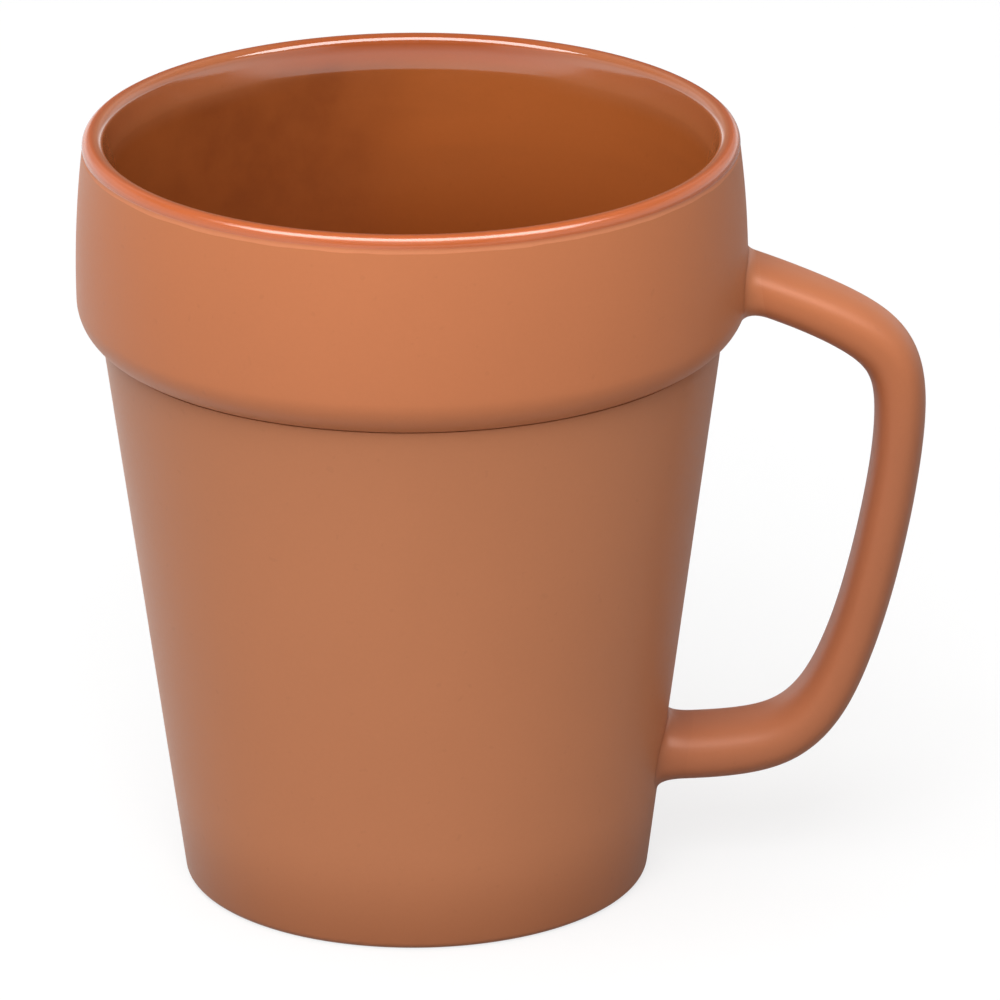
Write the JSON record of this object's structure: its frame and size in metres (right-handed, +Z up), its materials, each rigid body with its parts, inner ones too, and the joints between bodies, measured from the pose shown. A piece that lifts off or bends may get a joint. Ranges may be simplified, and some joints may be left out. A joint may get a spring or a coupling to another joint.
{
  "type": "flower-pot mug",
  "caption": "Tapered terracotta mug shaped like a flower pot, with a thick collar round the top, an ear handle and a glossy brown glazed inside.",
  "frame": {"origin": "On the pot's axis, in the plane of the flat ring that it stands on.", "axes": "+X points to the handle, +Y is across the mug and away from the viewer of the picture, +Z is up."},
  "size_m": [0.1213, 0.0958, 0.1119],
  "materials": {
    "pot_clay": "smooth satin terracotta",
    "collar_clay": "smooth satin terracotta",
    "handle_clay": "smooth satin terracotta",
    "slip": "sponged satin terracotta",
    "glaze": "glossy brown glaze"
  },
  "bodies": {
    "root": {"pot_body": "pot_clay", "rim_collar": "collar_clay", "collar_slip": "slip", "handle": "handle_clay", "upper_handle_slip": "slip", "lower_handle_slip": "slip", "inner_glaze": "glaze"}
  },
  "joints": []
}
